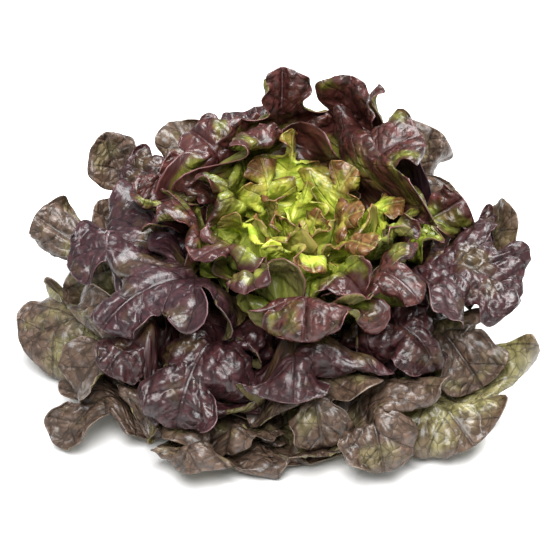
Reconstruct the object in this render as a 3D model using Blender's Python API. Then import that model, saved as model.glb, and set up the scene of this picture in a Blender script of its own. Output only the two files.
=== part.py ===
"""Red oak leaf lettuce: a loose head of lobed leaves round a short stem, standing on its cut end."""
from math import atan2, cos, degrees, pi, radians, sin

import bmesh
import bpy
import numpy as np

# The head, in millimetres
AXIS = (10.0, 4.0)          # where the stem stands before the head is centred
STEM_TOP = 46.0             # height of the stem's tip
STEM_COLLAR = 8.0           # height of the lowest leaf base
CUT_RADIUS = 14.0           # the cut end that the head stands on
CUT_CHAMFER = 1.5           # its worn edge
STEM_TIP_RADIUS = 1.2       # the thinnest the stem's cone gets
FIRST_BASE_RADIUS = 4.0     # the innermost leaf base, from the axis
BASE_SPREAD = 17.0          # how much further out the outermost leaf base is
STEM_CLEARANCE = 3.6        # from the stem's side to the leaf bases
SHORTEST_REACH = 2.5        # a leaf stays this far out on its own side of the axis

# The leaves, in millimetres
BLADE = 1.0                 # thickness of the blade
RIB = 1.7                   # thickness along the midrib at the base
GAP = 0.5                   # smallest gap between two leaves
SPACING = 1.5               # distance between the middle surfaces of two leaves
FLOOR = 1.4                 # the lowest middle surface stays above this height

# The grid that a leaf is laid out on, and the rows and columns of it that the solid keeps
ROWS, COLUMNS = 41, 13
KEPT_ROWS = (0, 4, 8, 12, 15, 18, 22, 25, 28, 32, 36, 40)
KEPT_COLUMNS = (0, 2, 4, 6, 8, 10, 12)
EVENINGS = 12               # how often the grid's rows are evened before that

# The leaves lie in layers round a point under the head: these are the map that keeps them apart
HUB = np.array([AXIS[0], AXIS[1], -6.0])
MAP_TURN, MAP_RINGS, RING = 240, 110, 2.0
STEEPEST = 0.6              # slopes steeper than this cosine are spaced as this one

# Half the outline of a leaf from its base to the corner of its end lobe. Each row gives the edge's
# place along the leaf, its distance from the midrib, and where its row leaves the midrib.
OUTLINE = np.array([
    (0.00, 0.13, 0.00),
    (0.10, 0.13, 0.09),
    (0.17, 0.20, 0.16),
    (0.21, 0.42, 0.21),
    (0.27, 0.58, 0.25),
    (0.32, 0.50, 0.29),
    (0.33, 0.22, 0.33),
    (0.37, 0.54, 0.37),
    (0.43, 0.88, 0.41),
    (0.51, 0.96, 0.46),
    (0.56, 0.74, 0.50),
    (0.54, 0.26, 0.54),
    (0.60, 0.60, 0.58),
    (0.66, 0.96, 0.63),
    (0.75, 1.00, 0.69),
    (0.80, 0.74, 0.74),
    (0.78, 0.28, 0.78),
    (0.82, 0.42, 0.83),
    (0.88, 0.54, 0.89),
    (0.945, 0.47, 0.95),
    (0.98, 0.26, 1.00),
])
# Which lobe each of those points belongs to: 0 is none of the four
LOBE_OF_POINT = np.array([0, 0, 0, 1, 1, 1, 0, 2, 2, 2, 2, 0, 3, 3, 3, 3, 0, 4, 4, 4, 4])
# Where the folds of the lobes are set, counted in outline points: the stalk, four lobes, the tip
LOBE_MIDDLES = (0, 2, 4, 8.5, 13.5, 18, 20)

# How the leaves of each ring grow, in millimetres and degrees
HABITS = {
    "heart": dict(flap=60, cup=60, frill=70, fringe=65, frills=3.4, fringes=8.5, stalk=7.0, curl=0,
                  vee=8, twist=45),
    "inner": dict(flap=75, cup=60, frill=62, fringe=58, frills=3.2, fringes=7.5, stalk=8.5, curl=-5,
                  vee=10, twist=32),
    "middle": dict(flap=80, cup=55, frill=58, fringe=50, frills=3.1, fringes=7.5, stalk=10.0, curl=-10,
                   vee=10, twist=18),
    "outer": dict(flap=70, cup=45, frill=50, fringe=40, frills=3.0, fringes=7.0, stalk=11.0, curl=-8,
                  vee=10, twist=12),
}

# Every leaf from the heart outwards: ring, compass direction (0 is right, 270 is front), tip,
# width, rise at the base, rise at the tip, and what sets it apart from its ring
LEAVES = [
    ("heart", 20, (24, 10, 83), 29, 84, 60, {}),
    ("heart", 200, (8, -4, 85), 29, 82, 50, {}),
    ("heart", 300, (28, -16, 87), 34, 80, 40, {}),
    ("heart", 80, (18, 26, 91), 36, 80, 45, {}),
    ("heart", 165, (-8, 12, 91), 38, 78, 30, {}),
    ("heart", 350, (48, -2, 91), 40, 76, 20, {}),
    ("heart", 245, (-2, -32, 89), 43, 76, 15, {}),
    ("heart", 45, (44, 28, 99), 45, 76, 35, {}),
    ("heart", 125, (-8, 38, 99), 45, 74, 35, {}),
    ("heart", 318, (52, -36, 90), 47, 72, 5, {}),
    ("heart", 205, (-30, -16, 93), 47, 72, 10, {}),
    ("heart", 5, (70, 4, 93), 49, 70, 10, {}),
    ("heart", 278, (20, -54, 87), 52, 70, -5, {}),
    ("heart", 95, (10, 52, 109), 47, 74, 50, {}),
    ("inner", 152, (-44, 20, 98), 48, 70, 5, {}),
    ("inner", 232, (-42, -44, 88), 48, 66, -10, {}),
    ("inner", 338, (76, -26, 90), 52, 66, -5, {}),
    ("inner", 298, (44, -68, 82), 50, 62, -20, {}),
    ("inner", 115, (-16, 42, 114), 66, 72, 0, {}),
    ("inner", 257, (-16, -68, 84), 54, 60, -25, {}),
    ("inner", 28, (80, 34, 116), 88, 62, -5, {"flap": 25, "frill": 40, "broad": 0.3}),
    ("inner", 188, (-64, -8, 88), 54, 64, -10, {}),
    ("inner", 68, (42, 62, 137), 62, 72, 60, {"flap": 40, "cup": 35, "roll": -8}),
    ("inner", 316, (74, -68, 78), 56, 58, -35, {}),
    ("inner", 90, (4, 68, 139), 74, 72, 78, {"flap": 20, "roll": 0, "broad": 0.6}),
    ("inner", 128, (-48, 62, 102), 70, 66, 0, {}),
    ("inner", 276, (14, -92, 71), 84, 54, -58, {"folds": (0.2, 0.2, -0.2, -0.2), "frill": 45, "broad": 0.5}),
    ("inner", 12, (104, 22, 82), 54, 60, 40, {"roll": 35}),
    ("inner", 158, (-80, 26, 86), 62, 60, -5, {}),
    ("inner", 52, (58, 78, 122), 52, 66, 35, {}),
    ("middle", 222, (-90, -70, 62), 82, 52, -50, {"flap": 30, "frill": 45, "roll": -15, "broad": 0.6}),
    ("middle", 338, (132, -34, 56), 104, 50, -35, {"flap": 18, "frill": 40, "roll": 18, "broad": 0.5}),
    ("middle", 188, (-114, -7, 60), 88, 54, -25, {"flap": 40, "roll": -12, "broad": 0.3}),
    ("middle", 104, (-26, 92, 96), 74, 62, 15, {}),
    ("middle", 318, (83, -80, 42), 70, 50, -75, {}),
    ("middle", 247, (-50, -104, 24), 78, 68, -84, {"folds": (-0.5, -0.8, -0.7, -0.4), "cup": 40}),
    ("middle", 274, (8, -110, 46), 90, 46, -55, {"folds": (-0.3, -0.2, -0.1, -0.1), "cup": 30, "broad": 0.8}),
    ("middle", 60, (66, 88, 88), 76, 58, 5, {}),
    ("middle", 140, (-86, 62, 80), 70, 58, 5, {}),
    ("middle", 229, (-88, -84, 44), 50, 58, -45, {"folds": (0.4, 0.4, 0.2, -0.3), "roll": -15}),
    ("middle", 355, (120, 2, 64), 70, 50, 0, {}),
    ("outer", 140, (-98, 82, 88), 60, 50, 75, {"roll": -35}),
    ("outer", 208, (-106, -74, 22), 88, 58, -65, {"roll": -10}),
    ("outer", 6, (133, 18, 76), 80, 44, 40, {"roll": 45}),
    ("outer", 42, (92, 84, 90), 92, 50, 45, {}),
    ("outer", 288, (24, -108, 14), 62, 58, -78, {}),
    ("outer", 342, (110, -67, 20), 88, 50, -50, {"roll": 15}),
    ("outer", 166, (-135, 33, 64), 88, 50, 35, {"roll": -55}),
    ("outer", 236, (-70, -92, 22), 60, 56, -74, {"flap": 40, "cup": 30}),
    ("outer", 258, (-26, -112, 14), 52, 52, -75, {}),
    ("outer", 118, (-60, 108, 80), 70, 44, 30, {}),
    ("outer", 218, (-114, -96, 4), 66, 50, -50, {"roll": -10}),
    ("outer", 302, (55, -124, 12), 78, 50, -65, {}),
    ("outer", 98, (6, 126, 12), 92, 42, -35, {"roll": 0}),
    ("outer", 326, (103, -104, 12), 110, 50, -35, {"flap": 15, "frill": 35, "roll": 12, "broad": 0.5}),
    ("outer", 192, (-140, -28, 18), 104, 46, -30, {"flap": 12, "frill": 25, "roll": -25}),
    ("outer", 244, (-48, -126, 14), 76, 56, -65, {"flap": 35, "cup": 25, "frill": 35}),
    ("outer", 272, (-2, -104, 14), 84, 55, -70, {}),
    ("outer", 58, (84, 104, 14), 88, 40, -35, {"roll": 0}),
]

COLOURS = {
    "heart": (0.36, 0.45, 0.06),
    "inner": (0.075, 0.018, 0.028),
    "middle": (0.052, 0.022, 0.026),
    "outer": (0.085, 0.066, 0.032),
    "stem": (0.62, 0.58, 0.36),
}


def smooth(start, end, x):
    """0 before start, 1 after end, and an even step between them."""
    t = np.clip((x - start) / (end - start), 0, 1)
    return t * t * (3 - 2 * t)


def heading(azimuth, rise):
    a, r = radians(azimuth), radians(rise)
    return np.array([cos(a) * cos(r), sin(a) * cos(r), sin(r)])


def through(points, where):
    """A smooth curve through the rows of points, read at fractional row numbers."""
    k = np.clip(np.floor(where).astype(int), 0, len(points) - 2)
    t = (where - k)[:, None]
    a, b, c, d = (points[np.clip(k + i, 0, len(points) - 1)] for i in (-1, 0, 1, 2))
    bend = (c - a) * t + (2 * a - 5 * b + 4 * c - d) * t**2 + (3 * b - a - 3 * c + d) * t**3
    return b + bend / 2


def leaf_rows():
    """One dictionary for each leaf: its ring's habit, its place, and where it leaves the stem."""
    rows = []
    count = {}
    for rank, (ring, azimuth, tip, width, rise, droop, own) in enumerate(LEAVES):
        outward = rank / (len(LEAVES) - 1)
        radius = FIRST_BASE_RADIUS + BASE_SPREAD * outward**0.9
        height = STEM_TOP - (STEM_TOP - STEM_COLLAR) * outward
        base = (AXIS[0] + radius * cos(radians(azimuth)), AXIS[1] + radius * sin(radians(azimuth)), height)
        tip_azimuth = degrees(atan2(tip[1] - AXIS[1], tip[0] - AXIS[0]))
        count[ring] = count.get(ring, 0) + 1
        leaf = dict(HABITS[ring], name=f"{ring}_leaf_{count[ring]:02d}", ring=ring, seed=100 + rank,
                    azimuth=azimuth, base=base, tip=tip, tip_azimuth=tip_azimuth, width=width,
                    rise=rise, droop=droop, broad=0)
        leaf["roll"] = leaf["twist"] * np.random.default_rng(rank).uniform(-1, 1)
        leaf.update(own)
        rows.append(leaf)
    return rows


def midrib(leaf):
    """Points along the midrib with its sideways and upper directions, and the length so far."""
    start, end = np.array(leaf["base"]), np.array(leaf["tip"], float)
    reach = 0.42 * np.linalg.norm(end - start)
    out = start + heading(leaf["azimuth"], leaf["rise"]) * reach
    back = end - heading(leaf["tip_azimuth"], leaf["droop"]) * reach
    t = np.linspace(0, 1, 80)[:, None]
    path = (1 - t)**3 * start + 3 * (1 - t)**2 * t * out + 3 * (1 - t) * t**2 * back + t**3 * end
    length = np.concatenate([[0], np.cumsum(np.linalg.norm(np.diff(path, axis=0), axis=1))])
    along = np.gradient(path, axis=0)
    along /= np.linalg.norm(along, axis=1)[:, None]
    sideways = np.zeros_like(path)
    side = np.array([-sin(radians(leaf["azimuth"])), cos(radians(leaf["azimuth"])), 0.0])
    for i, forward in enumerate(along):
        side = side - forward * np.dot(side, forward)
        side /= np.linalg.norm(side)
        sideways[i] = side
    up = np.cross(along, sideways)
    bow, dip = np.random.default_rng(leaf["seed"] + 50).uniform(-1, 1, 2)
    path = path + length[-1] * 0.05 * bow * sideways * np.sin(pi * t)**2
    path = path + length[-1] * 0.03 * dip * up * np.sin(2 * pi * t)
    roll = (radians(leaf["roll"]) * (length / length[-1])**1.3)[:, None]
    sideways = sideways * np.cos(roll) + up * np.sin(roll)
    return path, sideways, np.cross(along, sideways), length


def half_outline(leaf, rng):
    """The outline of one side at every row of the grid, with lobes of slightly different size."""
    points = OUTLINE.copy()
    for lobe in (1, 2, 3, 4):
        points[LOBE_OF_POINT == lobe, 1] *= rng.uniform(0.82, 1.14)
    points[:, 0] += 0.018 * rng.uniform(-1, 1) * np.sin(np.linspace(0, 3 * pi, len(points)))
    # a broad leaf has shallow notches
    points[LOBE_OF_POINT == 0, 1] += 0.5 * leaf["broad"]
    points[:2, 1] = leaf["stalk"] / leaf["width"]
    points[2, 1] = max(0.2, 1.3 * leaf["stalk"] / leaf["width"])
    at = np.linspace(0, len(points) - 1, ROWS)
    outline = through(points, at)
    # small swells along the margin, so that no lobe is a plain oval
    notches = rng.uniform(0, 2 * pi, 2)
    outline[:, 1] *= 1 + 0.05 * np.sin(2.9 * at + notches[0]) + 0.03 * np.sin(5.1 * at + notches[1])
    return outline


def blade(leaf):
    """The leaf's middle surface as a grid of points: rows from base to tip, columns from side to side."""
    rng = np.random.default_rng(leaf["seed"])
    path, sideways, up, length = midrib(leaf)
    u = np.linspace(0, 1, ROWS)
    v = np.linspace(-1, 1, COLUMNS)
    steps = 48
    across = (np.arange(steps) + 0.5) / steps
    swell_start, swell_length = rng.uniform(0, 2 * pi), rng.uniform(40, 55)
    sway = rng.uniform(-22, 22)
    round_end = smooth(0.78, 1.0, u)
    grid = np.zeros((ROWS, COLUMNS, 3))
    for side in (-1, 1):
        edge = half_outline(leaf, rng)
        half_width = leaf["width"] / 2 * edge[:, 1]
        # each lobe folds its own way, and the edge carries wide waves and short frills
        at = u * (len(OUTLINE) - 1)
        folds, cups = rng.uniform(-1.0, 0.7, 4), rng.uniform(-1.0, 0.9, 4)
        folds = leaf.get("folds", folds)
        fold = radians(leaf["flap"]) * np.interp(at, LOBE_MIDDLES, [0, 0, *folds, 0.6 * folds[3]])
        cup = radians(leaf["cup"]) * np.interp(at, LOBE_MIDDLES, [0, 0, *cups, cups[3]])
        keel = radians(leaf["vee"]) * (1 - 0.4 * u) + radians(26) * (1 - smooth(0.0, 0.3, u)) + 0.2 * fold
        curl = radians(leaf["curl"] + sway) * smooth(0.1, 0.6, u)
        wave = 2 * pi * (leaf["frills"] * u * rng.uniform(0.85, 1.15) + rng.uniform())
        frill = radians(leaf["frill"]) * np.sin(wave) * smooth(0.15, 0.5, u)
        wave = 2 * pi * (leaf["fringes"] * u * rng.uniform(0.9, 1.1) + rng.uniform())
        fringe = radians(leaf["fringe"]) * np.sin(wave) * smooth(0.2, 0.5, u)
        slope = (keel[:, None] + curl[:, None] * across**0.8 + fold[:, None] * smooth(0.2, 0.7, across)
                 + (frill + cup)[:, None] * across**2 + fringe[:, None] * across**4)
        step = half_width[:, None] / steps
        zero = np.zeros((ROWS, 1))
        out = np.concatenate([zero, np.cumsum(np.cos(slope) * step, 1)], 1)
        lift = np.concatenate([zero, np.cumsum(np.sin(slope) * step, 1)], 1)
        for j in range(COLUMNS):
            if v[j] * side < 0:
                continue
            a = abs(v[j])
            k = min(int(a * steps), steps - 1)
            part = a * steps - k
            y = out[:, k] * (1 - part) + out[:, k + 1] * part
            z = lift[:, k] * (1 - part) + lift[:, k + 1] * part
            swing = a**1.3 * (1 - round_end) + a**2 * round_end
            s = np.clip(length[-1] * (edge[:, 2] + (edge[:, 0] - edge[:, 2]) * swing), 0, length[-1])
            swell = 4 * (np.sin(2 * pi * side * y / swell_length + swell_start) - sin(swell_start))
            tip = swell * smooth(0.5, 1.0, u)
            centre, beside, above = (np.stack([np.interp(s, length, c[:, m]) for m in range(3)], -1)
                                     for c in (path, sideways, up))
            grid[:, j] = centre + beside * (side * y)[:, None] + above * (z + tip)[:, None]
    return grid


def own_side(leaf, grid):
    """Keeps a leaf on its own side of the head's axis, with a soft bend where it would cross over."""
    a = radians(leaf["azimuth"])
    way = np.array([cos(a), sin(a), 0.0])
    reach = (grid - np.array([AXIS[0], AXIS[1], 0.0])) @ way
    start = SHORTEST_REACH + 3
    bent = SHORTEST_REACH + 3 * np.exp((np.minimum(reach, start) - start) / 3)
    return grid + np.maximum(bent - reach, 0)[..., None] * way


def on_facets(grid, parts):
    """Points spread over a grid's triangles: every square of the grid gets parts steps each way."""
    rows, columns, _ = grid.shape
    x = np.arange((rows - 1) * parts + 1) / parts
    y = np.arange((columns - 1) * parts + 1) / parts
    i, j = np.minimum(x.astype(int), rows - 2), np.minimum(y.astype(int), columns - 2)
    s, t = (x - i)[:, None, None], (y - j)[None, :, None]
    here, beside = grid[i][:, j], grid[i][:, j + 1]
    ahead, across = grid[i + 1][:, j], grid[i + 1][:, j + 1]
    return np.where(t >= s, here + t * (beside - here) + s * (across - beside),
                    here + s * (ahead - here) + t * (across - ahead))


def around_hub(points):
    """Distance from the hub, angle from straight up, and the cell of the map that each point is over."""
    x, y, z = np.moveaxis(points - HUB, -1, 0)
    distance = np.sqrt(x * x + y * y + z * z)
    lean = np.arctan2(np.hypot(x, y), z)
    turn = (np.arctan2(y, x) % (2 * pi) / (2 * pi) * MAP_TURN).astype(int) % MAP_TURN
    return distance, lean, (turn, np.clip((distance / RING).astype(int), 0, MAP_RINGS - 1))


def leant(points, arc):
    """Leans points further out round the hub by an arc in millimetres."""
    x, y, z = np.moveaxis(points - HUB, -1, 0)
    flat = np.maximum(np.hypot(x, y), 1e-6)
    distance = np.hypot(flat, z)
    lean = np.arctan2(flat, z) + arc / distance
    return HUB + np.stack([x / flat * distance * np.sin(lean), y / flat * distance * np.sin(lean),
                           distance * np.cos(lean)], -1)


def slant(grid):
    """How much wider than its thickness a sloping leaf is, measured round the hub."""
    normal = np.cross(np.gradient(grid, axis=1), np.gradient(grid, axis=0))
    normal /= np.maximum(np.linalg.norm(normal, axis=-1, keepdims=True), 1e-9)
    way = leant(grid, 0.01) - grid
    way /= np.linalg.norm(way, axis=-1, keepdims=True)
    return 1 / np.maximum(abs((normal * way).sum(-1)), STEEPEST)


def neighbours(values, pick, reach=1):
    """The pick, such as the largest, of each value and those round it."""
    rows, columns = values.shape
    padded = np.pad(values, reach, mode="edge")
    steps = range(2 * reach + 1)
    return pick([padded[r:r + rows, c:c + columns] for r in steps for c in steps], axis=0)


def layered(grids, gap, parts, side):
    """Leans each leaf clear of the ones before it: outwards with side 1, inwards with side -1."""
    if side > 0:
        taken = np.full((MAP_TURN, MAP_RINGS), -9.0)
    else:
        ring = (np.arange(MAP_RINGS) + 0.5) * RING
        taken = np.tile(np.where(ring > 12, -np.arccos(np.clip((FLOOR - HUB[2]) / ring, -1, 1)), -9.0),
                        (MAP_TURN, 1))
    for k in range(len(grids))[::side]:
        grid = grids[k]
        wrapped = np.pad(taken, ((1, 1), (0, 0)), mode="wrap")
        nearby = neighbours(wrapped, np.max)[1:-1]
        for attempt in range(7):
            distance, lean, cell = around_hub(on_facets(grid, parts))
            wide = on_facets((gap * slant(grid))[..., None], parts)[..., 0]
            lack = np.maximum(nearby[cell] * distance + wide - side * lean * distance, 0)
            # every grid point answers for the facets round it
            move = neighbours(lack, np.max, parts - 1)[::parts, ::parts]
            if move.max() < 0.02:
                break
            if attempt == 0:
                move = neighbours(move, np.mean)
            grid = leant(grid, side * move)
        grids[k] = grid
        _, lean, cell = around_hub(on_facets(grid, parts))
        np.maximum.at(taken, cell, side * lean)
    return grids


def arranged(rows):
    """The middle surface of every leaf, none of them crossing another or the floor."""
    grids = np.stack([own_side(leaf, blade(leaf)) for leaf in rows])
    spacing = np.full((ROWS, COLUMNS), SPACING)
    for side in (1, -1):
        grids = layered(grids, spacing, 3, side)
    return grids


def evened(grids):
    """Grids with rows and columns evened with their neighbours, so the few kept show the wide waves."""
    for _ in range(EVENINGS):
        grids[:, 1:-1] = (grids[:, :-2] + 2 * grids[:, 1:-1] + grids[:, 2:]) / 4
    grids[:, :, 1:-1] = (grids[:, :, :-2] + 2 * grids[:, :, 1:-1] + grids[:, :, 2:]) / 4
    return grids


def thickness(rows, columns):
    """Leaf thickness at every grid point: thickest along the midrib near the base."""
    u, v = np.linspace(0, 1, rows)[:, None], np.linspace(-1, 1, columns)[None]
    return BLADE + (RIB - BLADE) * rib_weight(u, v)


def rib_weight(u, v):
    return (1 - u) * np.clip(1 - 2.5 * abs(v), 0, 1)


def grid_triangles(rows, columns):
    """The triangles of a grid of points, counted row by row."""
    faces = []
    for r in range(rows - 1):
        for c in range(columns - 1):
            here, ahead = r * columns + c, (r + 1) * columns + c
            faces += [(here, here + 1, ahead + 1), (here, ahead + 1, ahead)]
    return faces


def material(name, colour, roughness):
    made = bpy.data.materials.new(name)
    made.use_nodes = True
    shader = made.node_tree.nodes["Principled BSDF"]
    shader.inputs["Base Color"].default_value = (*colour, 1)
    shader.inputs["Roughness"].default_value = roughness
    return made


def add_object(name, bm, finish):
    mesh = bpy.data.meshes.new(name)
    bm.to_mesh(mesh)
    bm.free()
    mesh.materials.append(finish)
    made = bpy.data.objects.new(name, mesh)
    bpy.context.scene.collection.objects.link(made)
    return made


def make_leaf(leaf, grid, finish):
    """One leaf: a sheet of triangles made solid, thicker along the midrib."""
    rows, columns, _ = grid.shape
    bm = bmesh.new()
    points = [bm.verts.new(p / 1000) for p in grid.reshape(-1, 3)]
    for face in grid_triangles(rows, columns):
        bm.faces.new([points[k] for k in face])
    made = add_object(leaf["name"], bm, finish)
    rib = made.vertex_groups.new(name="midrib")
    u, v = np.linspace(0, 1, rows)[:, None], np.linspace(-1, 1, columns)[None]
    for k, weight in enumerate(rib_weight(u, v).ravel()):
        rib.add([k], float(weight), "REPLACE")
    solid = made.modifiers.new("Thickness", "SOLIDIFY")
    solid.thickness = RIB / 1000
    solid.offset = 0
    solid.vertex_group = rib.name
    solid.thickness_vertex_group = BLADE / RIB
    return made


def make_stem(centre, finish):
    """The short stem: a round cut end at the bottom, a wide collar, and a cone up to its tip."""
    profile = [(CUT_RADIUS - CUT_CHAMFER, 0.0), (CUT_RADIUS, CUT_CHAMFER)]
    for outward in (1.0, 0.8, 0.6, 0.4, 0.2, 0.05):
        height = STEM_TOP - (STEM_TOP - STEM_COLLAR) * outward
        radius = FIRST_BASE_RADIUS + BASE_SPREAD * outward**0.9 - STEM_CLEARANCE
        profile.append((max(radius, STEM_TIP_RADIUS), height))
    bm = bmesh.new()
    points = [bm.verts.new((0, 0, 0))]
    points += [bm.verts.new((r / 1000, 0, z / 1000)) for r, z in profile]
    points.append(bm.verts.new((0, 0, STEM_TOP / 1000)))
    edges = [bm.edges.new(pair) for pair in zip(points, points[1:])]
    bmesh.ops.spin(bm, geom=points + edges, cent=(0, 0, 0), axis=(0, 0, 1), angle=2 * pi, steps=32)
    bmesh.ops.remove_doubles(bm, verts=bm.verts, dist=1e-6)
    bmesh.ops.recalc_face_normals(bm, faces=bm.faces)
    made = add_object("core_stem", bm, finish)
    made.location = (centre[0] / 1000, centre[1] / 1000, 0)
    return made


def main():
    for old in list(bpy.data.objects):
        bpy.data.objects.remove(old)
    rows = leaf_rows()
    grids = evened(arranged(rows))[:, KEPT_ROWS][:, :, KEPT_COLUMNS]
    gap = thickness(len(KEPT_ROWS), len(KEPT_COLUMNS)) + GAP
    for side in (1, -1):
        grids = layered(grids, gap, 6, side)
    low, high = grids.min((0, 1, 2)), grids.max((0, 1, 2))
    middle = np.array([(low[0] + high[0]) / 2, (low[1] + high[1]) / 2, 0])
    finishes = {name: material(name, colour, 0.4) for name, colour in COLOURS.items()}
    make_stem(np.array(AXIS) - middle[:2], finishes["stem"])
    for leaf, grid in zip(rows, grids):
        make_leaf(leaf, grid - middle, finishes[leaf["ring"]])


if __name__ == "__main__":
    main()
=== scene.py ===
# %% [markdown]
# # A head of red oak leaf lettuce
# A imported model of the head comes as 60 plain solids: a short stem and 59 leaves. This lesson gives
# it its looks. Each plain leaf is replaced by a thin, blistered and ruffled sheet with veins and a
# blush of red, while the stem keeps its shape and only gets a finish.

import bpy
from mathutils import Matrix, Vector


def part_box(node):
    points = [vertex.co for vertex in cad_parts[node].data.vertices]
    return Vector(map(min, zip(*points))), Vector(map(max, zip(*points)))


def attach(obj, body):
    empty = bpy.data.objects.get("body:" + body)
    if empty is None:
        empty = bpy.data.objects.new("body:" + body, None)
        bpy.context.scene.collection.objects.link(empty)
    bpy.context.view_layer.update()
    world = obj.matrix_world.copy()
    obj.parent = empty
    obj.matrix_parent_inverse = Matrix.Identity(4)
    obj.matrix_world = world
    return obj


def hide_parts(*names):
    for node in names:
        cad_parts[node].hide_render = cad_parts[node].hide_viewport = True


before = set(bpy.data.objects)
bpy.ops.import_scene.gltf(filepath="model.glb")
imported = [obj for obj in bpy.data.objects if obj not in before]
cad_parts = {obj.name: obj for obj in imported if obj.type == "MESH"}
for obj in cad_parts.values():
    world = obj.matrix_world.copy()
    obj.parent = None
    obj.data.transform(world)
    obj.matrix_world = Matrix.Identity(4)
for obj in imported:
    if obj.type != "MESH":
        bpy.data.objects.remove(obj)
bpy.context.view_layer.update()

# %% Modules for the rest of the lesson
from math import atan2, cos, degrees, pi, radians, sin

import bpy
import numpy as np
from mathutils import Vector

# %% [markdown]
# ## The head's driving sizes
# Leaves could be sculpted by hand, but 59 of them would take days and would hardly ever lie clear of
# each other. So a leaf is grown by a few rules here, and a table with one line a leaf says the whole
# head. All lengths are millimetres, and Blender's metres come in only at the end. The head was laid
# out with its stem at AXIS, and the frame's stem shows how far it was moved since.

# %% Sizes of the head
AXIS = (10.0, 4.0)          # where the stem stands in the layout
STEM_TOP = 46.0             # height of the stem's tip
STEM_COLLAR = 8.0           # height of the lowest leaf base
FIRST_BASE_RADIUS = 4.0     # the innermost leaf base, from the axis
BASE_SPREAD = 17.0          # how much further out the outermost leaf base is
SHORTEST_REACH = 2.5        # a leaf stays this far out on its own side of the axis
SOFTNESS = 3                # how far before that it begins to bend away
ROWS, COLUMNS = 41, 13      # points of the coarse layout along and across a leaf

stem_low, stem_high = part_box("core_stem")
stem_at = (stem_low + stem_high) * 500
MOVED = np.array([AXIS[0] - stem_at.x, AXIS[1] - stem_at.y, 0.0])
print("the head was moved by", MOVED.round(2), "mm")

# %% [markdown]
# Half of an oak leaf's outline, from its base to the corner of its end lobe. It could be drawn as a
# long list of points, but a smooth curve through a few is easier to change: a lobe needs only four
# or five of them, and the notch between two lobes one. Each row gives the edge's place along the
# leaf, its distance from the midrib, and where its row leaves the midrib.

# %% Outline of a leaf
OUTLINE = np.array([
    (0.00, 0.13, 0.00),
    (0.10, 0.13, 0.09),
    (0.17, 0.20, 0.16),
    (0.21, 0.42, 0.21),
    (0.27, 0.58, 0.25),
    (0.32, 0.50, 0.29),
    (0.33, 0.22, 0.33),
    (0.37, 0.54, 0.37),
    (0.43, 0.88, 0.41),
    (0.51, 0.96, 0.46),
    (0.56, 0.74, 0.50),
    (0.54, 0.26, 0.54),
    (0.60, 0.60, 0.58),
    (0.66, 0.96, 0.63),
    (0.75, 1.00, 0.69),
    (0.80, 0.74, 0.74),
    (0.78, 0.28, 0.78),
    (0.82, 0.42, 0.83),
    (0.88, 0.54, 0.89),
    (0.945, 0.47, 0.95),
    (0.98, 0.26, 1.00),
])
# Which lobe each of those points belongs to: 0 is none of the four
LOBE_OF_POINT = np.array([0, 0, 0, 1, 1, 1, 0, 2, 2, 2, 2, 0, 3, 3, 3, 3, 0, 4, 4, 4, 4])
# Where the folds of the lobes are set, counted in outline points: the stalk, four lobes, the tip
LOBE_MIDDLES = (0, 2, 4, 8.5, 13.5, 18, 20)
print("outline points:", len(OUTLINE))

# %% [markdown]
# How the leaves of each ring grow. The young leaves of the heart are the most frilled, and the old
# ones outside are the flattest and have the widest stalks. The angles say how far a surface tilts:
# flap and cup turn whole lobes, frill makes the wide waves of the margin, fringe the short ones, curl
# bends the sides down, vee folds the leaf along its midrib and twist rolls it about its midrib.

# %% Habit of each ring
HABITS = {
    "heart": dict(flap=60, cup=60, frill=70, fringe=65, frills=3.4, fringes=8.5, stalk=7.0, curl=0,
                  vee=8, twist=45),
    "inner": dict(flap=75, cup=60, frill=62, fringe=58, frills=3.2, fringes=7.5, stalk=8.5, curl=-5,
                  vee=10, twist=32),
    "middle": dict(flap=80, cup=55, frill=58, fringe=50, frills=3.1, fringes=7.5, stalk=10.0, curl=-10,
                   vee=10, twist=18),
    "outer": dict(flap=70, cup=45, frill=50, fringe=40, frills=3.0, fringes=7.0, stalk=11.0, curl=-8,
                  vee=10, twist=12),
}
print("rings:", list(HABITS))

# %% [markdown]
# Every leaf from the heart outwards: compass direction (0 is right, 270 is front), tip, width, rise
# at the base, rise at the tip, and what sets it apart from its ring, if anything does. A negative
# rise points down, as on leaves that hang over the ones below. A broad leaf has shallow notches.

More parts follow.
